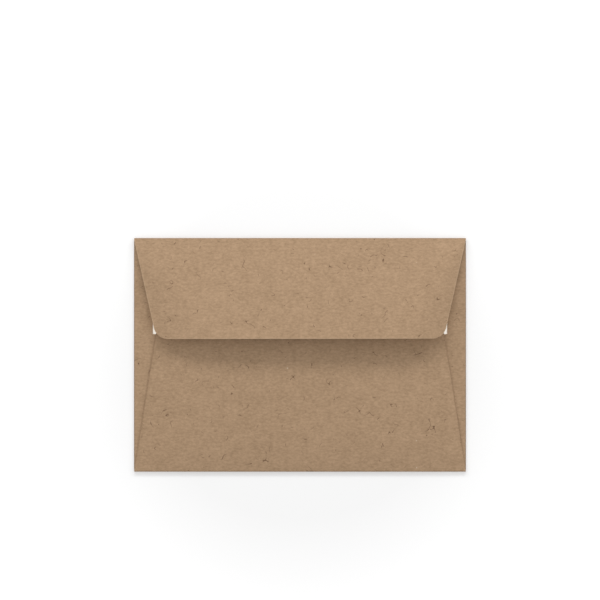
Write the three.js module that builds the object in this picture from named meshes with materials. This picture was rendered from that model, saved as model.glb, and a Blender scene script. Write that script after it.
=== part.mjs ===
// A C6 kraft envelope with a white tissue lining, empty and unsealed, lying on its address side.
// Millimetres, +Z up. X runs along the long side and +Y towards the top fold.
// The origin is on the table, below the middle of the envelope.
// The kraft piece is one die-cut sheet: front, two side flaps, bottom panel and top flap.
// Each sheet is laid out as patches of its middle surface, which are joined and given their thickness.

import * as THREE from 'three';

// Finished size and stock
const envelopeLength = 162;
const envelopeHeight = 114;
const paperThickness = 0.15;
const tissueThickness = 0.05;

// Folds, by the radius of the middle of the paper
const sideFoldRadius = 0.45;
const topFoldRadius = 0.95;
const panelLayerStep = 0.25; // bottom panel over the side flaps, middle to middle
const foldEndMargin = 0.1; // how much shorter the top and bottom folds are, at each end

// Side flaps, with heights from the envelope's bottom edge and widths from its side
const sideFlapWidth = 9.2; // the part that shows beside the pocket's mouth
const sideFlapSeamWidth = 18; // the part under the bottom panel
const sideFlapShoulderHeight = 66.4;
const sideFlapShoulderDrop = 0.8;
const sideFlapTopSlant = THREE.MathUtils.degToRad(18);
const sideFlapTopWidth = 0.4;
const sideFlapEndWidth = 3;
const sideFlapEndRise = 8;
const bottomCornerNotch = 0.35;
const topCornerNotch = 0.35;

// Bottom panel, which is glued over the side flaps
const panelStraightHeight = 3;
const panelCornerHeight = 67.45;
const panelCornerInset = 10.7;
const panelShoulderWidth = 9;
const panelShoulderRise = 0.5;
const panelPeakHeight = 77;
const panelPeakWidth = 60;

// Pocket: how far its back springs up, and over what distance from the folds
const pocketFullness = 1.7;
const pocketFullnessRun = 11;

// Top flap, open by the spring of its fold. Each of its sides bends back down along lines that fan out
// from the top corner: by its droop for each millimetre of depth, over its spread of the depth.
const flapDepth = 48.9;
const flapEdgeInset = 11.1; // of each free corner, before it is rounded
const flapCornerRadius = 7;
const flapRiseAtFold = THREE.MathUtils.degToRad(11.5);
const flapRiseAtEdge = THREE.MathUtils.degToRad(8);
const flapTwist = 0.08; // more rise at the right end, less at the left
const flapDroopLeft = 0.08;
const flapDroopRight = 0.09;
const flapSpreadLeft = 0.7;
const flapSpreadRight = 0.5;

// Tissue lining, a separate sheet inside, held to the flap and the top fold. In the pocket it rises with
// the back, and it comes down to the front over its fold run.
const liningClearance = 0.3;
const liningSideMargin = 4;
const liningBottomMargin = 5;
const liningTaperHeight = 22; // below the top fold
const liningFlapMargin = 9;
const liningFoldRun = 6;
const gumStripWidth = 13;
const liningCornerRadius = 6;

// Fineness of the mesh
const columnCount = 24;
const liningColumnCount = 24;
const sideFlapColumnCount = 4;
const rowStep = 7;
const smallFoldSteps = 6;
const topFoldSteps = 8;
const cornerSteps = 4;

// Places worked out from the sizes
const halfLength = envelopeLength / 2;
const halfHeight = envelopeHeight / 2;
const halfPaper = paperThickness / 2;
const bottomFoldRadius = sideFoldRadius + panelLayerStep / 2;
const sideFoldX = halfLength - sideFoldRadius - halfPaper;
const bottomFoldY = -halfHeight + bottomFoldRadius + halfPaper;
const topFoldY = halfHeight - topFoldRadius - halfPaper;
const foldHalfWidth = halfLength - foldEndMargin;
const flapSlope = (foldHalfWidth - halfLength + flapEdgeInset) / flapDepth;
const liningOffset = halfPaper + liningClearance + tissueThickness / 2;

const kraftPaper = new THREE.MeshStandardMaterial({ color: 0xb09477, roughness: 0.88, metalness: 0 });
const whiteTissue = new THREE.MeshStandardMaterial({ color: 0xf6f1e6, roughness: 0.95, metalness: 0 });

// Values that keep every corner of a list, with no step over the largest one
function stations(corners, largestStep) {
  const list = [corners[0]];
  for (let k = 1; k < corners.length; k += 1) {
    const from = corners[k - 1];
    const length = corners[k] - from;
    const steps = Math.max(1, Math.ceil(length / largestStep - 1e-9));
    for (let n = 1; n <= steps; n += 1) {
      list.push(from + (length * n) / steps);
    }
  }
  return list;
}

function evenSteps(from, to, steps) {
  return stations([from, to], (to - from) / steps);
}

// Straight lines through pairs of a place and a value, as a function of the place
function straightLines(pairs) {
  return (place) => {
    let k = 1;
    while (k < pairs.length - 1 && place > pairs[k][0]) {
      k += 1;
    }
    const [fromPlace, fromValue] = pairs[k - 1];
    const [toPlace, toValue] = pairs[k];
    return fromValue + ((toValue - fromValue) * (place - fromPlace)) / (toPlace - fromPlace);
  };
}

// A tongue that narrows evenly and ends in two round corners
function roundedTongue(halfWidth, slope, depth, radius) {
  const lean = Math.hypot(1, slope);
  const centreDepth = depth - radius;
  const centreX = halfWidth - slope * centreDepth - radius * lean;
  const roundFrom = centreDepth + (radius * slope) / lean;
  const rows = evenSteps(Math.atan(slope), Math.PI / 2, cornerSteps).map(
    (angle) => centreDepth + radius * Math.sin(angle),
  );
  const widthAt = (depthHere) => {
    if (depthHere <= roundFrom) {
      return halfWidth - slope * depthHere;
    }
    const across = radius * radius - (depthHere - centreDepth) ** 2;
    return centreX + Math.sqrt(Math.max(across, 0));
  };
  return { rows: [...stations([0, roundFrom], rowStep).slice(0, -1), ...rows], widthAt };
}

// A grid of points, with its columns along the sheet's X and its rows along the sheet's Y
function patch(columns, rows, pointAt) {
  return rows.map((row) => columns.map((column) => pointAt(column, row)));
}

// One closed solid from patches of a sheet's middle surface, which meet at shared points
function thickSheet(patches, thickness) {
  const middles = [];
  const normals = [];
  const faces = [];
  const known = new Map();

  const indexOf = (point) => {
    const key = point.toArray().map((value) => Math.round(value * 1e4)).join(' ');
    if (!known.has(key)) {
      known.set(key, middles.length);
      middles.push(point);
      normals.push(new THREE.Vector3());
    }
    return known.get(key);
  };

  const addFace = (a, b, c) => {
    const faceNormal = middles[b].clone().sub(middles[a]).cross(middles[c].clone().sub(middles[a]));
    for (const corner of [a, b, c]) {
      normals[corner].add(faceNormal.clone().normalize());
    }
    faces.push([a, b, c]);
  };

  for (const grid of patches) {
    const indices = grid.map((row) => row.map(indexOf));
    for (let j = 1; j < grid.length; j += 1) {
      for (let i = 1; i < grid[j].length; i += 1) {
        const [a, b] = [indices[j - 1][i - 1], indices[j - 1][i]];
        const [c, d] = [indices[j][i], indices[j][i - 1]];
        addFace(a, b, c);
        addFace(a, c, d);
      }
    }
  }

  const edges = new Set(faces.flatMap(([a, b, c]) => [`${a} ${b}`, `${b} ${c}`, `${c} ${a}`]));
  const positions = [];
  for (const side of [1, -1]) {
    middles.forEach((middle, k) => {
      const offset = normals[k].clone().setLength((side * thickness) / 2);
      positions.push(...middle.clone().add(offset).toArray());
    });
  }

  const outer = middles.length;
  const triangles = [];
  for (const [a, b, c] of faces) {
    triangles.push(a, b, c, outer + a, outer + c, outer + b);
    for (const [from, to] of [[a, b], [b, c], [c, a]]) {
      if (!edges.has(`${to} ${from}`)) {
        triangles.push(to, from, outer + from, to, outer + from, outer + to);
      }
    }
  }

  const geometry = new THREE.BufferGeometry();
  geometry.setAttribute('position', new THREE.Float32BufferAttribute(positions, 3));
  geometry.setIndex(triangles);
  geometry.computeVertexNormals();
  return geometry;
}

// Height of the pocket's back over its folds, at a place on the envelope
function fullnessAt(x, y) {
  const near = (distance) => 1 - Math.exp(-Math.max(distance, 0) / pocketFullnessRun);
  return pocketFullness * near(sideFoldX - Math.abs(x)) * near(y - bottomFoldY);
}

// The top fold and the flap. An offset of more than 0 lies on the sheet's inner side.
function flapAngle(x, depth) {
  const bow = ((flapRiseAtEdge - flapRiseAtFold) * depth) / flapDepth;
  return (flapRiseAtFold + bow) * (1 + (flapTwist * x) / halfLength);
}

function topFoldPoint(x, share, offset) {
  const pastCrest = Math.max(share - 0.5, 0) * 2;
  const turn = (Math.PI / 2) * (Math.min(share * 2, 1) + pastCrest) - pastCrest * flapAngle(x, 0);
  const radius = topFoldRadius - offset;
  return new THREE.Vector3(
    x,
    topFoldY + radius * Math.sin(turn),
    halfPaper + topFoldRadius - radius * Math.cos(turn),
  );
}

function flapDroop(x, depth) {
  const [droop, spread] = x < 0 ? [flapDroopLeft, flapSpreadLeft] : [flapDroopRight, flapSpreadRight];
  const fromSide = Math.max(foldHalfWidth - flapSlope * depth - Math.abs(x), 0);
  const share = depth > 0 ? 1 - Math.min(fromSide / (depth * spread), 1) : 0;
  return depth * droop * share ** 2;
}

function flapPoint(x, depth, offset) {
  const start = topFoldPoint(x, 1, 0);
  const chordAngle = (flapAngle(x, 0) + flapAngle(x, depth)) / 2;
  const hereAngle = flapAngle(x, depth);
  return new THREE.Vector3(
    x,
    start.y - depth * Math.cos(chordAngle) - offset * Math.sin(hereAngle),
    start.z + depth * Math.sin(chordAngle) - offset * Math.cos(hereAngle) - flapDroop(x, depth),
  );
}

// The fold and the flap beyond it, as two patches
function flapPatches(shares, halfWidth, tongue, offset) {
  const fold = patch(shares, evenSteps(0, 1, topFoldSteps), (share, turn) =>
    topFoldPoint(share * halfWidth, turn, offset));
  const flap = patch(shares, tongue.rows, (share, depth) =>
    flapPoint(share * tongue.widthAt(depth), depth, offset));
  return [fold, flap];
}

// Side flap widths, by the height over the envelope's bottom edge
const sideFlapBottom = bottomFoldY + halfHeight + bottomCornerNotch;
const sideFlapTop = topFoldY + halfHeight - topCornerNotch;
const sideFlapSlantFrom = sideFlapTop - sideFlapWidth / Math.tan(sideFlapTopSlant);
const sideFlapOutline = [
  [sideFlapBottom, sideFlapEndWidth],
  [sideFlapBottom + sideFlapEndRise, sideFlapSeamWidth],
  [sideFlapShoulderHeight, sideFlapSeamWidth],
  [sideFlapShoulderHeight + sideFlapShoulderDrop, sideFlapWidth],
  [sideFlapSlantFrom, sideFlapWidth],
  [sideFlapTop, sideFlapTopWidth],
];
const sideFlapWidthAt = straightLines(sideFlapOutline);
const sideFlapRows = stations(sideFlapOutline.map(([height]) => height - halfHeight), rowStep);

// The left or right fold and its flap, in the order of the sheet's own X
function sidePatches(side) {
  const foldPoint = (turn, y) => new THREE.Vector3(
    side * (sideFoldX + sideFoldRadius * Math.sin(turn)),
    y,
    halfPaper + sideFoldRadius * (1 - Math.cos(turn)),
  );
  const flapPlace = (share, y) => {
    const reach = sideFlapWidthAt(y + halfHeight) - (halfLength - sideFoldX);
    const x = side * (sideFoldX - share * Math.max(reach, sideFlapTopWidth));
    return new THREE.Vector3(x, y, halfPaper + 2 * sideFoldRadius + fullnessAt(x, y));
  };
  const turns = evenSteps(0, Math.PI, smallFoldSteps);
  const shares = evenSteps(0, 1, sideFlapColumnCount);
  if (side < 0) {
    turns.reverse();
    shares.reverse();
  }
  return [patch(turns, sideFlapRows, foldPoint), patch(shares, sideFlapRows, flapPlace)];
}

// The bottom fold and the panel that it turns up over the side flaps
function bottomPatches(shares) {
  const outline = [
    [bottomFoldY + halfHeight, foldHalfWidth],
    [panelStraightHeight, sideFoldX],
    [panelCornerHeight, halfLength - panelCornerInset],
    [panelCornerHeight + panelShoulderRise, halfLength - panelCornerInset - panelShoulderWidth],
    [panelPeakHeight, panelPeakWidth / 2],
  ];
  const halfWidthAt = straightLines(outline);
  const heights = stations(outline.map(([height]) => height), rowStep).reverse();
  const foldPoint = (share, turn) => new THREE.Vector3(
    share * foldHalfWidth,
    bottomFoldY - bottomFoldRadius * Math.sin(turn),
    halfPaper + bottomFoldRadius * (1 - Math.cos(turn)),
  );
  const panelPoint = (share, height) => {
    const x = share * halfWidthAt(height);
    const y = height - halfHeight;
    return new THREE.Vector3(x, y, halfPaper + 2 * bottomFoldRadius + fullnessAt(x, y));
  };
  const turns = evenSteps(0, Math.PI, smallFoldSteps).reverse();
  return [patch(shares, heights, panelPoint), patch(shares, turns, foldPoint)];
}

function kraftBlank() {
  const shares = evenSteps(-1, 1, columnCount);
  const frontRows = [bottomFoldY, ...sideFlapRows, topFoldY];
  const frontHalfWidthAt = straightLines([
    [bottomFoldY, foldHalfWidth],
    [sideFlapRows[0], sideFoldX],
    [sideFlapRows.at(-1), sideFoldX],
    [topFoldY, foldHalfWidth],
  ]);
  const front = patch(shares, frontRows, (share, y) =>
    new THREE.Vector3(share * frontHalfWidthAt(y), y, halfPaper));
  const flap = roundedTongue(foldHalfWidth, flapSlope, flapDepth, flapCornerRadius);
  const patches = [
    ...bottomPatches(shares),
    front,
    ...sidePatches(-1),
    ...sidePatches(1),
    ...flapPatches(shares, foldHalfWidth, flap, 0),
  ];
  return thickSheet(patches, paperThickness);
}

function tissueLining() {
  const shares = evenSteps(-1, 1, liningColumnCount);
  const narrow = sideFoldX - liningFlapMargin;
  const flap = roundedTongue(narrow, flapSlope, flapDepth - gumStripWidth, liningCornerRadius);
  const frontCorners = [-halfHeight + liningBottomMargin, topFoldY - liningTaperHeight, topFoldY];
  const frontHalfWidthAt = straightLines([
    [frontCorners[0], halfLength - liningSideMargin],
    [frontCorners[1], halfLength - liningSideMargin],
    [frontCorners[2], narrow],
  ]);
  const frontPoint = (share, y) => {
    const x = share * frontHalfWidthAt(y);
    const nearFold = 1 - Math.exp(-(topFoldY - y) / liningFoldRun);
    return new THREE.Vector3(x, y, halfPaper + liningOffset + fullnessAt(x, y) * nearFold);
  };
  const front = patch(shares, stations(frontCorners, rowStep), frontPoint);
  return thickSheet([front, ...flapPatches(shares, narrow, flap, liningOffset)], tissueThickness);
}

function namedMesh(name, geometry, material) {
  const mesh = new THREE.Mesh(geometry, material);
  mesh.name = name;
  return mesh;
}

const envelope = new THREE.Group();
envelope.add(namedMesh('kraft_blank', kraftBlank(), kraftPaper));
envelope.add(namedMesh('tissue_lining', tissueLining(), whiteTissue));

export default envelope;
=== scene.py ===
import math

import bpy
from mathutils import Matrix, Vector, noise


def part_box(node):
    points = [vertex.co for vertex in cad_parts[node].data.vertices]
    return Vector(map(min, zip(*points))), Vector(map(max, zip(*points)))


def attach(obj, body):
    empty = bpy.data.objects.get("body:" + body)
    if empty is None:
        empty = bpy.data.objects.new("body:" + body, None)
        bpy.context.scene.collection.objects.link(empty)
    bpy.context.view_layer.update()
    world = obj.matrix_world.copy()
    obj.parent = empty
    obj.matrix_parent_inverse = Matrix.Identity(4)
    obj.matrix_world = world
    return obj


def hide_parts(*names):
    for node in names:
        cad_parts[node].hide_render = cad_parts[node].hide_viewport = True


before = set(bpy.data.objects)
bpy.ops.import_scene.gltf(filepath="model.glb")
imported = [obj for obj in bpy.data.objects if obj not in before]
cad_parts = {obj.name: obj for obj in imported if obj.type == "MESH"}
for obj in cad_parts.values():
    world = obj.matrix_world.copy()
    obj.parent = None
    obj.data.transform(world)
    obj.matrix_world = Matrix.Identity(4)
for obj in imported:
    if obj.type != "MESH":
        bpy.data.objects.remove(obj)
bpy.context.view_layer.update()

# A C6 kraft envelope, empty and unsealed, on its address side, seen from straight above.
# Sizes are in millimetres here, and go to metres where a mesh, material, lamp or camera is made.

blankLow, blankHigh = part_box("kraft_blank")

millimetre = 0.001
tiny = 1e-9                      # keeps whole numbers of steps whole, and quotients finite
sharpAngle = math.radians(50)    # between faces: a cut edge is sharper than this, and a fold isn't
halfLength = (blankHigh.x - blankLow.x) / 2 / millimetre
halfHeight = (blankHigh.y - blankLow.y) / 2 / millimetre


# Small tools

def hexToLinear(code):  # sRGB hex to the linear colour that a shader wants
    channels = [int(code[k:k + 2], 16) / 255 for k in (1, 3, 5)]
    linear = [c / 12.92 if c <= 0.04045 else ((c + 0.055) / 1.055) ** 2.4 for c in channels]
    return (*linear, 1.0)


def addNode(tree, kind, links=None, **settings):  # links: socket name or number to a value or an output
    node = tree.nodes.new(kind)
    for name, value in settings.items():
        setattr(node, name, value)
    for socket, value in (links or {}).items():
        if isinstance(value, bpy.types.NodeSocket):
            tree.links.new(value, node.inputs[socket])
        else:
            node.inputs[socket].default_value = value
    return node


def stations(corners, largestStep):  # keeps every corner, with no step over the largest
    found = [corners[0]]
    for start, end in zip(corners, corners[1:]):
        steps = max(1, math.ceil((end - start) / largestStep - tiny))
        found += [start + (end - start) * n / steps for n in range(1, steps + 1)]
    return found


def evenSteps(start, end, steps):
    return [start + (end - start) * n / steps for n in range(steps + 1)]


def straightLines(pairs):  # a value by place, along straight lines through the pairs
    def valueAt(place):
        for (startPlace, startValue), (endPlace, endValue) in zip(pairs, pairs[1:]):
            if place <= endPlace:
                break
        return startValue + (endValue - startValue) * (place - startPlace) / (endPlace - startPlace)
    return valueAt


def cockle(x, y, size, seed):  # the slow waves of a sheet that has taken up some damp
    return noise.noise(Vector((x / size, y / size, seed)))


# The kraft blank: one die-cut sheet, folded

kraftBlank = {
    "paper": 0.15,
    "sideFoldRadius": 0.45,
    "topFoldRadius": 0.95,
    "panelStep": 0.25,          # bottom panel over the side flaps
    "sideFlapWidth": 9.2,       # beside the pocket's mouth
    "sideFlapSeamWidth": 18,    # under the bottom panel
    "shoulderHeight": 66.4,
    "shoulderDrop": 0.8,
    "sideFlapTopSlant": math.radians(18),
    "sideFlapTopWidth": 0.4,
    "sideFlapEndWidth": 3,
    "sideFlapEndRise": 8,
    "cornerNotch": 0.35,
    "foldEndMargin": 0.1,       # how much shorter the top and bottom folds are, at each end
    "panelStraightHeight": 3,
    "panelCornerHeight": 67.45,
    "panelCornerInset": 10.7,
    "panelShoulderWidth": 9,
    "panelShoulderRise": 0.5,
    "panelPeakHeight": 77,
    "panelPeakWidth": 60,
    "fullness": 1.7,            # how far the pocket's back bellies up
    "fullnessRun": 11,          # over how far it does most of that, inward from the folds
    "flapDepth": 48.9,
    "flapEdgeInset": 11.1,
    "flapCornerRadius": 7,
    "flapRiseAtFold": math.radians(11.5),
    "flapRiseAtEdge": math.radians(8),
    "flapTwist": 0.08,
    "flapDroopLeft": 0.08,      # how steeply each side of the flap bends back down
    "flapDroopRight": 0.09,
    "flapSpreadLeft": 0.7,      # of the depth: how far in from the side that bend reaches
    "flapSpreadRight": 0.5,
    "seamCurl": 0.45,           # how far the panel's cut edge stands off, past the gum
    "seamCurlRun": 1.1,
    "seamShadowWidth": 0.5,       # of the painted shadow line along the panel's cut edge, over the seam
    "seamShadowShare": 0.45,
    "backCockle": 0.16,
    "flapCockle": 0.45,
    "flapCockleMiddle": 0.25,   # taken off its waves, so that they stay under the solid's top
    "cockleSize": 42,
    "backCockleSeed": 3.5,
    "flapCockleSeed": 8.2,
    "topPressAndShadeFall": 1.5,         # powers by which a fold's darker line, pressed fibre and painted shade, fades from its crest
    "bottomPressAndShadeFall": 2,
    "bottomPressAndShade": 0.5,          # against the top fold and the side folds
    "pressAndShadeRun": 0.6,             # over how far past the top fold its darker line fades most
    "rubbedAndLitWidth": 0.55,           # how far in from its cut edge the flap is drawn paler: some rubbed fibre, and a painted highlight along the edge
    "gumWidth": 10,
    "gumMargin": 1.5,
    "meshStep": 1.3,
    "seamSteps": 4,             # columns in the run of the seam's curl
    "foldSteps": 10,
    "cornerSteps": 12,
}

halfPaper = kraftBlank["paper"] / 2
sideFoldRadius = kraftBlank["sideFoldRadius"]
topFoldRadius = kraftBlank["topFoldRadius"]
bottomFoldRadius = sideFoldRadius + kraftBlank["panelStep"] / 2
sideFoldX = halfLength - sideFoldRadius - halfPaper
bottomFoldY = -halfHeight + bottomFoldRadius + halfPaper
topFoldY = halfHeight - topFoldRadius - halfPaper
flapDepth = kraftBlank["flapDepth"]
foldHalfWidth = halfLength - kraftBlank["foldEndMargin"]
flapSlope = (foldHalfWidth - halfLength + kraftBlank["flapEdgeInset"]) / flapDepth


def sheetPoint(point, place, wear=0.0):  # point in space, place on the flat sheet, share of the darker line there: pressed fibre and painted shade over a fold, painted shadow along a seam
    return {"point": point, "place": place, "wear": wear, "rub": 0.0}


def patch(columns, rows, pointAt):
    return [[pointAt(column, row) for column in columns] for row in rows]


def fullnessAt(x, y):  # the back's height over its folds
    run = kraftBlank["fullnessRun"]
    nearSide = 1 - math.exp(-max(sideFoldX - abs(x), 0) / run)
    nearBottom = 1 - math.exp(-max(y - bottomFoldY, 0) / run)
    wave = kraftBlank["backCockle"] * cockle(x, y, kraftBlank["cockleSize"], kraftBlank["backCockleSeed"])
    return (kraftBlank["fullness"] + wave) * nearSide * nearBottom


def flapAngle(x, depth):
    bow = (kraftBlank["flapRiseAtEdge"] - kraftBlank["flapRiseAtFold"]) * depth / flapDepth
    return (kraftBlank["flapRiseAtFold"] + bow) * (1 + kraftBlank["flapTwist"] * x / halfLength)


def topFoldTurn(x, share):  # the first half of the shares reaches the crest
    pastCrest = max(share - 0.5, 0) * 2
    return math.pi / 2 * (min(share * 2, 1) + pastCrest) - pastCrest * flapAngle(x, 0)


def topFoldPoint(x, share, offset):  # an offset of more than 0 lies on the sheet's inner side
    turn = topFoldTurn(x, share)
    radius = topFoldRadius - offset
    point = (x, topFoldY + radius * math.sin(turn), halfPaper + topFoldRadius - radius * math.cos(turn))
    # darker line over the top fold's crest: pressed fibre, and painted shade where the fold turns away
    wear = math.sin(turn) ** kraftBlank["topPressAndShadeFall"]
    return sheetPoint(point, (x, topFoldY + topFoldRadius * turn), wear)


def flapDroop(x, depth):  # bends along lines that fan out from the top corners
    side = "Left" if x < 0 else "Right"
    spread = depth * kraftBlank["flapSpread" + side]
    fromSide = foldHalfWidth - flapSlope * depth - abs(x)
    share = 1 - min(max(fromSide, 0) / max(spread, tiny), 1)
    return depth * kraftBlank["flapDroop" + side] * share ** 2


def flapPoint(x, depth, offset):
    start = topFoldPoint(x, 1, 0)
    chord = (flapAngle(x, 0) + flapAngle(x, depth)) / 2
    here = flapAngle(x, depth)
    reach = depth / flapDepth
    wave = cockle(x, depth, kraftBlank["cockleSize"], kraftBlank["flapCockleSeed"])
    wave -= kraftBlank["flapCockleMiddle"]
    lift = kraftBlank["flapCockle"] * reach * wave - offset
    y = start["point"][1] - depth * math.cos(chord) + lift * math.sin(here)
    z = start["point"][2] + depth * math.sin(chord) + lift * math.cos(here) - flapDroop(x, depth)
    # that darker line, pressed fibre and painted shade, runs a little way onto the flap
    wear = start["wear"] * math.exp(-depth / kraftBlank["pressAndShadeRun"])
    return sheetPoint((x, y, z), (x, start["place"][1] + depth), wear)


def roundedTongue(halfWidth, slope, depth, radius):  # narrows evenly, ends in two round corners
    lean = math.hypot(1, slope)
    centreDepth = depth - radius
    centreX = halfWidth - slope * centreDepth - radius * lean
    roundFrom = centreDepth + radius * slope / lean
    turns = evenSteps(math.atan(slope), math.pi / 2, kraftBlank["cornerSteps"])
    rows = stations([0, roundFrom], kraftBlank["meshStep"])[:-1]
    rows += [centreDepth + radius * math.sin(turn) for turn in turns]

    def widthAt(depthHere):
        if depthHere <= roundFrom:
            return halfWidth - slope * depthHere
        return centreX + math.sqrt(max(radius ** 2 - (depthHere - centreDepth) ** 2, 0))
    return rows, widthAt


def flapPatches(shares, halfWidth, tongue, offset):
    rows, widthAt = tongue
    foldShares = evenSteps(0, 1, 2 * kraftBlank["foldSteps"])
    fold = patch(shares, foldShares, lambda share, turn: topFoldPoint(share * halfWidth, turn, offset))

    def flapCorner(share, depth):
        corner = flapPoint(share * widthAt(depth), depth, offset)
        fromEdge = min((1 - abs(share)) * widthAt(depth), rows[-1] - depth)
        # paler line along the flap's cut edge: some rubbed fibre, and a painted highlight
        corner["rub"] = max(1 - fromEdge / kraftBlank["rubbedAndLitWidth"], 0)
        return corner

    return [fold, patch(shares, rows, flapCorner)]


def sideFlapShape():  # widths by height over the bottom edge, and the rows that they need
    k = kraftBlank
    bottom = bottomFoldY + halfHeight + k["cornerNotch"]
    top = topFoldY + halfHeight - k["cornerNotch"]
    outline = [
        (bottom, k["sideFlapEndWidth"]),
        (bottom + k["sideFlapEndRise"], k["sideFlapSeamWidth"]),
        (k["shoulderHeight"], k["sideFlapSeamWidth"]),
        (k["shoulderHeight"] + k["shoulderDrop"], k["sideFlapWidth"]),
        (top - k["sideFlapWidth"] / math.tan(k["sideFlapTopSlant"]), k["sideFlapWidth"]),
        (top, k["sideFlapTopWidth"]),
    ]
    return straightLines(outline), stations([height - halfHeight for height, _ in outline], k["meshStep"])


sideFlapWidthAt, sideFlapRows = sideFlapShape()


def sidePatches(side):
    def foldPoint(turn, y):
        x = side * (sideFoldX + sideFoldRadius * math.sin(turn))
        z = halfPaper + sideFoldRadius * (1 - math.cos(turn))
        # its last value is the darker line over the side fold's crest: pressed fibre and painted shade
        return sheetPoint((x, y, z), (side * (sideFoldX + sideFoldRadius * turn), y), math.sin(turn))

    def flapPlace(share, y):
        reach = sideFlapWidthAt(y + halfHeight) - (halfLength - sideFoldX)
        inward = share * max(reach, kraftBlank["sideFlapTopWidth"])
        x = side * (sideFoldX - inward)
        z = halfPaper + 2 * sideFoldRadius + fullnessAt(x, y)
        return sheetPoint((x, y, z), (side * (sideFoldX + math.pi * sideFoldRadius + inward), y))

    turns = evenSteps(0, math.pi, kraftBlank["foldSteps"])
    shares = evenSteps(0, 1, round(kraftBlank["sideFlapSeamWidth"] / kraftBlank["meshStep"]))
    if side < 0:
        turns.reverse()
        shares.reverse()
    return [patch(turns, sideFlapRows, foldPoint), patch(shares, sideFlapRows, flapPlace)]


def bottomPatches(shares):
    k = kraftBlank
    bottomHeight = bottomFoldY + halfHeight
    cornerX = halfLength - k["panelCornerInset"]
    outline = [
        (bottomHeight, foldHalfWidth),
        (k["panelStraightHeight"], sideFoldX),
        (k["panelCornerHeight"], cornerX),
        (k["panelCornerHeight"] + k["panelShoulderRise"], cornerX - k["panelShoulderWidth"]),
        (k["panelPeakHeight"], k["panelPeakWidth"] / 2),
    ]
    halfWidthAt = straightLines(outline)
    heights = stations([height for height, _ in outline], k["meshStep"])[::-1]

    def foldPoint(share, turn):
        y = bottomFoldY - bottomFoldRadius * math.sin(turn)
        z = halfPaper + bottomFoldRadius * (1 - math.cos(turn))
        place = (share * foldHalfWidth, bottomFoldY - bottomFoldRadius * turn)
        # darker line over the bottom fold: pressed fibre and painted shade
        wear = k["bottomPressAndShade"] * math.sin(turn) ** k["bottomPressAndShadeFall"]
        return sheetPoint((share * foldHalfWidth, y, z), place, wear)

    def panelPoint(share, height):
        x = share * halfWidthAt(height)
        y = height - halfHeight
        fromEdge = halfWidthAt(height) - abs(x)
        risen = 1 - math.exp(-(height - bottomHeight) / k["fullnessRun"])
        curl = k["seamCurl"] * risen * math.exp(-fromEdge / k["seamCurlRun"])
        z = halfPaper + 2 * bottomFoldRadius + fullnessAt(x, y) + curl
        # painted shadow: a dark line on the panel along its cut edge, where the seam's shade falls
        seamShadow = k["seamShadowShare"] * risen * max(1 - fromEdge / k["seamShadowWidth"], 0)
        place = (x, bottomFoldY - math.pi * bottomFoldRadius - (height - bottomHeight))
        return sheetPoint((x, y, z), place, seamShadow)

    turns = evenSteps(0, math.pi, k["foldSteps"])[::-1]
    return [patch(shares, heights, panelPoint), patch(shares, turns, foldPoint)]


def foldedSheet(name, patches, thickness, materials):  # joins the patches and gives them their thickness
    points, places, pressAndShadeLines, rubAndHighlights, faces = [], [], [], [], []
    known = {}
    sameDigits = 4  # points that agree to so many digits are one, as where two patches meet

    def indexOf(corner):
        key = tuple(round(value, sameDigits) for value in corner["point"])
        if key not in known:
            known[key] = len(points)
            points.append([value * millimetre for value in corner["point"]])
            places.append((*corner["place"], 0.0))
            pressAndShadeLines.append(corner["wear"])
            rubAndHighlights.append(corner["rub"])
        return known[key]

    for grid in patches:
        numbers = [[indexOf(corner) for corner in row] for row in grid]
        for low, high in zip(numbers, numbers[1:]):
            faces += list(zip(low, low[1:], high[1:], high))

    mesh = bpy.data.meshes.new(name)
    mesh.from_pydata(points, [], faces)
    for material in materials:
        mesh.materials.append(material)
    sheetPlace = mesh.attributes.new("sheetPlace", "FLOAT_VECTOR", "POINT")
    sheetPlace.data.foreach_set("vector", [value for place in places for value in place])
    for title, values in (("pressAndShadeLine", pressAndShadeLines), ("edgeRubAndHighlight", rubAndHighlights)):
        mesh.attributes.new(title, "FLOAT", "POINT").data.foreach_set("value", values)
    piece = bpy.data.objects.new(name, mesh)
    bpy.context.scene.collection.objects.link(piece)

    solidify = piece.modifiers.new("thickness", "SOLIDIFY")
    solidify.thickness = thickness * millimetre
    solidify.offset = 0
    solidify.use_even_offset = False
    solidify.material_offset_rim = len(materials) - 1
    shown = piece.evaluated_get(bpy.context.evaluated_depsgraph_get())
    piece.data = bpy.data.meshes.new_from_object(shown)
    piece.modifiers.clear()
    piece.data.shade_smooth()
    piece.data.set_sharp_from_angle(angle=sharpAngle)
    return piece
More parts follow.
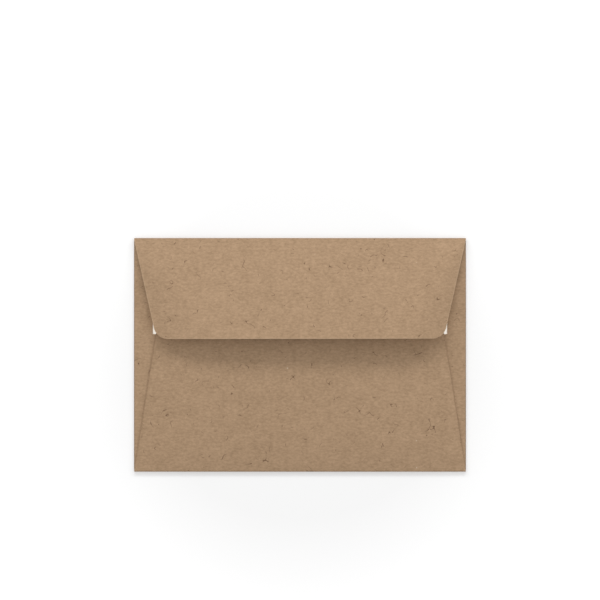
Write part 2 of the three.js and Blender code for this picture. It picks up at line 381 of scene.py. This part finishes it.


# Uncoated brown kraft, unbleached long fibres: matt, warm, with fine streaks along the machine
# direction, cloudy formation, dark bark fibres and specks, a darker line over the folds that is
# pressed fibre and painted shade, a painted shadow line along the seams, and a paler flap edge
# that is some rubbed fibre and a painted highlight
kraftFinish = {
    "surfaces": {               # roughness, and what tints the kraft
        "uncoatedKraftPaper": (0.88, None),
        "driedGumOnKraft": (0.38, "#B79D78"),   # glossy, a little yellow
        "cutKraftEdge": (0.95, "#BCA286"),      # open fibres, paler
    },
    "tintShare": 0.55,
    "ior": 1.5,
    "specular": 0.3,
    "dark": "#A5886A",
    "light": "#C3A383",
    "pressedAndShaded": "#7E6248",
    "pressedAndShadedShare": 0.75,       # of the darker line over a side fold or the top fold
    "pressedAndShadedLeast": 0.5,        # what that line has between the streaks
    "rubbedAndLit": "#DCC3A2",
    "rubbedAndLitShare": 0.3,
    "toneLayers": {             # millimetres along and across the sheet, detail, roughness, weight
        "streaks": (1.0, 0.52, 2.0, 0.6, 1.4),
        "mottle": (1.9, 1.1, 1.0, 0.5, 1.65),
        "clouds": (6, 6, 1.0, 0.5, 0.8),
        "broadClouds": (38, 38, 2.0, 0.5, 0.45),
    },
    "toneRange": (1.51, 2.81),  # the layers' sum at the dark colour and at the light one
    "fibre": "#573C27",
    "fibreWander": 5,           # millimetres from one bend to the next
    "fibreLevel": 0.5,          # of the contour line that it follows, in the height of its noise
    "fibreLine": (0.006, 0.015),   # half widths of its dark core and its rim, in that height
    "fibreShows": (0.732, 0.77),   # where a stretch starts to show, and shows fully, in its own noise
    "fibreStrength": 0.66,
    "fibreFamilies": [          # seed, stretch along the machine direction, millimetres between stretches
        (2.7, 0.55, 3.2),
        (9.4, 1.3, 3.2),
        (14.8, 1.0, 7.5),
    ],
    "spotSpacing": 4.5,
    "spots": [                  # colour, seed, share of cells without one, largest reach in cells, strength
        ("#4F3522", 1.0, 0.86, 0.07, 0.8),   # bark
        ("#DCCBB2", 6.0, 0.93, 0.09, 0.6),   # pale shives
    ],
    "toothSize": 0.25,          # real tooth is about 0.05, drawn coarser so that it shows
    "toothDetail": 2.0,
    "toothDepth": 0.012,
    "streakRelief": 1.5,        # how much the streaks stand out, against the tooth
}


def kraftMaterial(name):
    roughness, tint = kraftFinish["surfaces"][name]
    material = bpy.data.materials.new(name)
    material.use_nodes = True
    tree = material.node_tree
    tree.nodes.clear()
    k = kraftFinish
    place = addNode(tree, "ShaderNodeAttribute", attribute_name="sheetPlace").outputs["Vector"]
    wear = addNode(tree, "ShaderNodeAttribute", attribute_name="pressAndShadeLine").outputs["Fac"]
    rub = addNode(tree, "ShaderNodeAttribute", attribute_name="edgeRubAndHighlight").outputs["Fac"]

    tone = 0.0
    layers = {}
    for title, (length, height, detail, layerRoughness, weight) in k["toneLayers"].items():
        along = addNode(tree, "ShaderNodeMapping", {
            "Vector": place, "Scale": (1 / length, 1 / height, 1),
        })
        layers[title] = addNode(tree, "ShaderNodeTexNoise", {
            "Vector": along.outputs[0], "Scale": 1.0, "Detail": detail, "Roughness": layerRoughness,
        }).outputs["Fac"]
        tone = addNode(tree, "ShaderNodeMath", {
            0: layers[title], 1: weight, 2: tone,
        }, operation="MULTIPLY_ADD").outputs[0]
    toneShare = addNode(tree, "ShaderNodeMapRange", {
        "Value": tone, "From Min": k["toneRange"][0], "From Max": k["toneRange"][1],
    })
    coats = []  # each a share, and the colour that it lays over what is below

    # Bark fibres: thin contour lines of a slow noise, kept only in short stretches
    for seed, stretch, spacing in k["fibreFamilies"]:
        noises = []
        for size, detail in ((k["fibreWander"], 1.0), (spacing, 0.0)):
            shifted = addNode(tree, "ShaderNodeMapping", {
                "Vector": place,
                "Location": (seed / size, 3 * seed / size, seed),
                "Scale": (stretch / size, 1 / size, 1),
            })
            noises.append(addNode(tree, "ShaderNodeTexNoise", {
                "Vector": shifted.outputs[0], "Scale": 1.0, "Detail": detail,
            }).outputs["Fac"])
        middle = addNode(tree, "ShaderNodeMath", {0: noises[0], 1: k["fibreLevel"]}, operation="SUBTRACT")
        away = addNode(tree, "ShaderNodeMath", {0: middle.outputs[0]}, operation="ABSOLUTE")
        line = addNode(tree, "ShaderNodeMapRange", {
            "Value": away.outputs[0],
            "From Min": k["fibreLine"][0], "From Max": k["fibreLine"][1],
            "To Min": 1.0, "To Max": 0.0,
        })
        shows = addNode(tree, "ShaderNodeMapRange", {
            "Value": noises[1],
            "From Min": k["fibreShows"][0], "From Max": k["fibreShows"][1],
            "To Max": k["fibreStrength"],
        })
        mask = addNode(tree, "ShaderNodeMath", {
            0: line.outputs[0], 1: shows.outputs[0],
        }, operation="MULTIPLY")
        coats.append((mask.outputs[0], k["fibre"]))

    # Specks of bark, and a few pale shives: the hearts of some cells
    for code, seed, rarity, largest, strength in k["spots"]:
        shifted = addNode(tree, "ShaderNodeMapping", {
            "Vector": place, "Location": (seed, 3 * seed, seed),
        })
        cells = addNode(tree, "ShaderNodeTexVoronoi", {
            "Vector": shifted.outputs[0], "Scale": 1 / k["spotSpacing"],
        })
        chance = addNode(tree, "ShaderNodeSeparateColor", {0: cells.outputs["Color"]})
        chosen = addNode(tree, "ShaderNodeMath", {
            0: chance.outputs[0], 1: rarity,
        }, operation="GREATER_THAN")
        reach = addNode(tree, "ShaderNodeMath", {0: chance.outputs[1], 1: largest}, operation="MULTIPLY")
        inside = addNode(tree, "ShaderNodeMath", {
            0: cells.outputs["Distance"], 1: reach.outputs[0],
        }, operation="LESS_THAN")
        spot = addNode(tree, "ShaderNodeMath", {
            0: chosen.outputs[0], 1: inside.outputs[0],
        }, operation="MULTIPLY")
        soft = addNode(tree, "ShaderNodeMath", {0: spot.outputs[0], 1: strength}, operation="MULTIPLY")
        coats.append((soft.outputs[0], code))

    # darker line over the folds, pressed fibre and painted shade, and the seams' painted shadow line
    uneven = addNode(tree, "ShaderNodeMath", {0: layers["streaks"], 1: k["pressedAndShadedLeast"]}, operation="ADD")
    pressAndShadeAmount = addNode(tree, "ShaderNodeMath", {0: wear, 1: uneven.outputs[0]}, operation="MULTIPLY")
    pressedAndShaded = addNode(tree, "ShaderNodeMath", {
        0: pressAndShadeAmount.outputs[0], 1: k["pressedAndShadedShare"],
    }, operation="MULTIPLY")
    # paler flap edge: some rubbed fibre, and a painted highlight
    rubbedAndLit = addNode(tree, "ShaderNodeMath", {0: rub, 1: k["rubbedAndLitShare"]}, operation="MULTIPLY")
    coats += [(pressedAndShaded.outputs[0], k["pressedAndShaded"]), (rubbedAndLit.outputs[0], k["rubbedAndLit"])]
    if tint:
        coats.append((k["tintShare"], tint))

    colour = hexToLinear(k["dark"])
    for share, code in [(toneShare.outputs[0], k["light"]), *coats]:
        colour = addNode(tree, "ShaderNodeMix", {
            "Factor": share, "A": colour, "B": hexToLinear(code),
        }, data_type="RGBA").outputs["Result"]

    tooth = addNode(tree, "ShaderNodeTexNoise", {
        "Vector": place, "Scale": 1 / k["toothSize"], "Detail": k["toothDetail"],
    })
    height = addNode(tree, "ShaderNodeMath", {
        0: layers["streaks"], 1: k["streakRelief"], 2: tooth.outputs["Fac"],
    }, operation="MULTIPLY_ADD")
    bump = addNode(tree, "ShaderNodeBump", {
        "Height": height.outputs[0], "Distance": k["toothDepth"] * millimetre, "Strength": 1.0,
    })
    surface = addNode(tree, "ShaderNodeBsdfPrincipled", {
        "Base Color": colour,
        "Roughness": roughness,
        "IOR": k["ior"],
        "Specular IOR Level": k["specular"],
        "Normal": bump.outputs[0],
    })
    addNode(tree, "ShaderNodeOutputMaterial", {"Surface": surface.outputs[0]})
    return material


def makeKraftBlank():
    k = kraftBlank
    columns = round(2 * sideFoldX / k["meshStep"])
    shares = evenSteps(-1, 1, columns)
    steps = k["seamSteps"]
    nearEdge = [1 - k["seamCurlRun"] * step / steps / sideFoldX for step in range(1, steps)]
    shares = sorted(set(shares + nearEdge + [-share for share in nearEdge]))
    frontRows = [bottomFoldY, *sideFlapRows, topFoldY]
    frontWidthAt = straightLines([
        (bottomFoldY, foldHalfWidth),
        (sideFlapRows[0], sideFoldX),
        (sideFlapRows[-1], sideFoldX),
        (topFoldY, foldHalfWidth),
    ])

    def frontPoint(share, y):
        x = share * frontWidthAt(y)
        return sheetPoint((x, y, halfPaper), (x, y))

    front = patch(shares, frontRows, frontPoint)
    tongue = roundedTongue(foldHalfWidth, flapSlope, flapDepth, k["flapCornerRadius"])
    patches = [
        *bottomPatches(shares),
        front,
        *sidePatches(-1),
        *sidePatches(1),
        *flapPatches(shares, foldHalfWidth, tongue, 0),
    ]
    materials = [kraftMaterial(name) for name in kraftFinish["surfaces"]]
    piece = foldedSheet("kraftBlank", patches, k["paper"], materials)
    markGum(piece)
    return piece


def markGum(piece):  # the dried gum strip on the flap's inner face, along its free edge
    k = kraftBlank
    paper, gum = 0, 1  # places in the blank's list of materials
    flapEnd = topFoldPoint(0, 1, 0)["place"][1] + flapDepth
    place = piece.data.attributes["sheetPlace"].data
    for face in piece.data.polygons:
        middle = sum(place[corner].vector.y for corner in face.vertices) / len(face.vertices)
        fromEnd = flapEnd - middle
        onStrip = k["gumMargin"] < fromEnd < k["gumMargin"] + k["gumWidth"]
        looksDown = face.normal.z < -0.5
        if onStrip and looksDown and face.material_index == paper:
            face.material_index = gum


# The tissue lining: a separate thin sheet on the inside of the front and the flap

tissueLining = {
    "tissue": 0.05,
    "clearance": 0.3,
    "sideMargin": 4,
    "bottomMargin": 5,
    "taperHeight": 22,
    "flapMargin": 9,
    "gumStripWidth": 13,
    "cornerRadius": 6,
    "foldRun": 6,               # over how far it does most of its way down to the top fold
    "meshStep": 1.8,
}


# Thin bleached tissue, machine made: clean white, matt, with faint cloudy formation
tissueFinish = {
    "shade": "#F4EFE4",
    "light": "#FFFDF6",
    "roughness": 0.9,
    "ior": 1.45,
    "specular": 0.2,
    "cloudSize": 4,
    "cloudDetail": 5.0,
    "cloudRoughness": 0.65,
    "creaseSize": 9,
    "creaseDetail": 3.0,
    "creaseDistortion": 0.6,
    "creaseDepth": 0.05,
    "creaseStrength": 0.6,
    "paintedGlow": "#575654",          # painted glow: light given off all over, though the tissue is no lamp
    "paintedGapLight": "#A8A7A2",       # and a stronger painted light at the gaps beside the flap's corners
    "gapPlace": (71, 11.5, 0),  # on the flat sheet, and mirrored about both its middle lines
    "gapReach": (4, 11),        # how far from there that light starts and ends to fade
}


def tissueMaterial():
    material = bpy.data.materials.new("bleachedTissuePaper")
    material.use_nodes = True
    tree = material.node_tree
    tree.nodes.clear()
    k = tissueFinish
    place = addNode(tree, "ShaderNodeAttribute", attribute_name="sheetPlace").outputs["Vector"]
    clouds = addNode(tree, "ShaderNodeTexNoise", {
        "Vector": place,
        "Scale": 1 / k["cloudSize"], "Detail": k["cloudDetail"], "Roughness": k["cloudRoughness"],
    })
    colour = addNode(tree, "ShaderNodeMix", {
        "Factor": clouds.outputs["Fac"], "A": hexToLinear(k["shade"]), "B": hexToLinear(k["light"]),
    }, data_type="RGBA")
    # painted light: the tissue glows all over though it is no lamp, and more at the gaps beside the flap's
    # corners
    mirrored = addNode(tree, "ShaderNodeVectorMath", {0: place}, operation="ABSOLUTE").outputs[0]
    fromGap = addNode(tree, "ShaderNodeVectorMath", {
        0: mirrored, 1: k["gapPlace"],
    }, operation="DISTANCE").outputs["Value"]
    atGap = addNode(tree, "ShaderNodeMapRange", {
        "Value": fromGap, "From Min": k["gapReach"][0], "From Max": k["gapReach"][1],
        "To Min": 1.0, "To Max": 0.0,
    }, interpolation_type="SMOOTHSTEP")
    paintedGlow = addNode(tree, "ShaderNodeMix", {
        "Factor": atGap.outputs[0], "A": hexToLinear(k["paintedGlow"]), "B": hexToLinear(k["paintedGapLight"]),
    }, data_type="RGBA")
    creases = addNode(tree, "ShaderNodeTexNoise", {
        "Vector": place,
        "Scale": 1 / k["creaseSize"], "Detail": k["creaseDetail"], "Distortion": k["creaseDistortion"],
    }, noise_type="RIDGED_MULTIFRACTAL")
    bump = addNode(tree, "ShaderNodeBump", {
        "Height": creases.outputs["Fac"],
        "Distance": k["creaseDepth"] * millimetre, "Strength": k["creaseStrength"],
    })
    surface = addNode(tree, "ShaderNodeBsdfPrincipled", {
        "Base Color": colour.outputs["Result"],
        "Roughness": k["roughness"],
        "IOR": k["ior"],
        "Specular IOR Level": k["specular"],
        "Emission Color": paintedGlow.outputs["Result"],
        "Emission Strength": 1.0,
        "Normal": bump.outputs[0],
    })
    addNode(tree, "ShaderNodeOutputMaterial", {"Surface": surface.outputs[0]})
    return material


def makeTissueLining():
    k = tissueLining
    offset = halfPaper + k["clearance"] + k["tissue"] / 2
    shares = evenSteps(-1, 1, round(2 * sideFoldX / k["meshStep"]))
    narrow = sideFoldX - k["flapMargin"]
    tongue = roundedTongue(narrow, flapSlope, flapDepth - k["gumStripWidth"], k["cornerRadius"])
    bottom = -halfHeight + k["bottomMargin"]
    taper = topFoldY - k["taperHeight"]
    wide = halfLength - k["sideMargin"]
    widthAt = straightLines([(bottom, wide), (taper, wide), (topFoldY, narrow)])
    rows = stations([bottom, taper, topFoldY], k["meshStep"])

    def frontPoint(share, y):  # the tissue rises with the pocket's back, and comes down to the top fold
        x = share * widthAt(y)
        nearFold = 1 - math.exp(-(topFoldY - y) / k["foldRun"])
        z = halfPaper + offset + fullnessAt(x, y) * nearFold
        return sheetPoint((x, y, z), (x, y))

    patches = [patch(shares, rows, frontPoint), *flapPatches(shares, narrow, tongue, offset)]
    return foldedSheet("tissueLining", patches, k["tissue"], [tissueMaterial()])


# Studio: white floor, a soft lamp beyond the top fold, an even white sky

studio = {
    "pixel": 0.4884,            # of the photograph, in millimetres on the envelope
    "frame": 600,               # its side, in pixels
    "centreBelow": 54.85,       # how far the envelope's centre lies below the frame's, in pixels
    "cameraHeight": 1600,
    "sensor": 36,
    "skyStrength": 0.615,
    "lampDistance": 900,
    "lampElevation": math.radians(27),
    "lampWidth": 1700,
    "lampHeight": 200,
    "lampPower": 5.85,
    "floorSize": 6000,
    "floorDrop": 0.02,          # below the address side, so that the two don't share a plane
    "floorWhite": "#F2F2F2",
    "liftNear": 0.22,           # what the floor gives to the camera alone, up to this far from the envelope
    "liftNearReach": 80,
    "liftFar": 1.0,
    "liftFarReach": 400,
}


def makeStudio():
    k = studio
    world = bpy.data.worlds.new("whiteSky")
    bpy.context.scene.world = world
    world.use_nodes = True
    tree = world.node_tree
    tree.nodes.clear()
    rays = addNode(tree, "ShaderNodeLightPath")
    seen = addNode(tree, "ShaderNodeMath", {
        0: rays.outputs["Is Camera Ray"], 1: rays.outputs["Is Glossy Ray"],
    }, operation="MAXIMUM")
    strength = addNode(tree, "ShaderNodeMapRange", {
        "Value": seen.outputs[0], "To Min": k["skyStrength"], "To Max": 1.0,
    })
    sky = addNode(tree, "ShaderNodeBackground", {"Color": (1, 1, 1, 1), "Strength": strength.outputs[0]})
    addNode(tree, "ShaderNodeOutputWorld", {"Surface": sky.outputs[0]})

    lamp = bpy.data.lights.new("softLamp", "AREA")
    lamp.shape = "RECTANGLE"
    lamp.size = k["lampWidth"] * millimetre
    lamp.size_y = k["lampHeight"] * millimetre
    lamp.energy = k["lampPower"]
    lampObject = bpy.data.objects.new("softLamp", lamp)
    level = math.cos(k["lampElevation"])
    away = Vector((0, level, math.sin(k["lampElevation"])))  # beyond the top fold
    lampObject.location = away * k["lampDistance"] * millimetre
    lampObject.rotation_euler = away.to_track_quat("Z", "Y").to_euler()
    bpy.context.scene.collection.objects.link(lampObject)

    white = bpy.data.materials.new("whiteStudioFloor")
    white.use_nodes = True
    tree = white.node_tree
    tree.nodes.clear()
    rays = addNode(tree, "ShaderNodeLightPath")
    board = addNode(tree, "ShaderNodeBsdfDiffuse", {"Color": hexToLinear(k["floorWhite"])})
    place = addNode(tree, "ShaderNodeTexCoord").outputs["Object"]
    far = addNode(tree, "ShaderNodeVectorMath", {0: place}, operation="LENGTH").outputs["Value"]
    liftStrength = addNode(tree, "ShaderNodeMapRange", {
        "Value": far,
        "From Min": k["liftNearReach"] * millimetre, "From Max": k["liftFarReach"] * millimetre,
        "To Min": k["liftNear"], "To Max": k["liftFar"],
    })
    lift = addNode(tree, "ShaderNodeEmission", {"Color": (1, 1, 1, 1), "Strength": liftStrength.outputs[0]})
    nothing = addNode(tree, "ShaderNodeEmission", {"Color": (0, 0, 0, 1), "Strength": 0.0})
    shown = addNode(tree, "ShaderNodeMixShader", {
        0: rays.outputs["Is Camera Ray"], 1: nothing.outputs[0], 2: lift.outputs[0],
    })
    both = addNode(tree, "ShaderNodeAddShader", {0: board.outputs[0], 1: shown.outputs[0]})
    addNode(tree, "ShaderNodeOutputMaterial", {"Surface": both.outputs[0]})
    half = k["floorSize"] / 2 * millimetre
    corners = [(-half, -half, 0), (half, -half, 0), (half, half, 0), (-half, half, 0)]
    mesh = bpy.data.meshes.new("floor")
    mesh.from_pydata(corners, [], [(0, 1, 2, 3)])
    mesh.materials.append(white)
    floor = bpy.data.objects.new("floor", mesh)
    bpy.context.scene.collection.objects.link(floor)
    floor.location.z = -k["floorDrop"] * millimetre

    camera = bpy.data.cameras.new("camera")
    camera.sensor_width = k["sensor"]
    width = k["frame"] * k["pixel"]
    camera.lens = k["sensor"] * k["cameraHeight"] / width
    cameraObject = bpy.data.objects.new("camera", camera)
    cameraObject.location = Vector((0, k["centreBelow"] * k["pixel"], k["cameraHeight"])) * millimetre
    bpy.context.scene.collection.objects.link(cameraObject)
    bpy.context.scene.camera = cameraObject
    bpy.context.scene.view_settings.view_transform = "Standard"


makeStudio()
print("studio made")

blank = makeKraftBlank()
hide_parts("kraft_blank")
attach(blank, "root")
print("kraft blank folded:", len(blank.data.polygons), "faces")

lining = makeTissueLining()
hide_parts("tissue_lining")
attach(lining, "root")
print("tissue lining laid in:", len(lining.data.polygons), "faces")
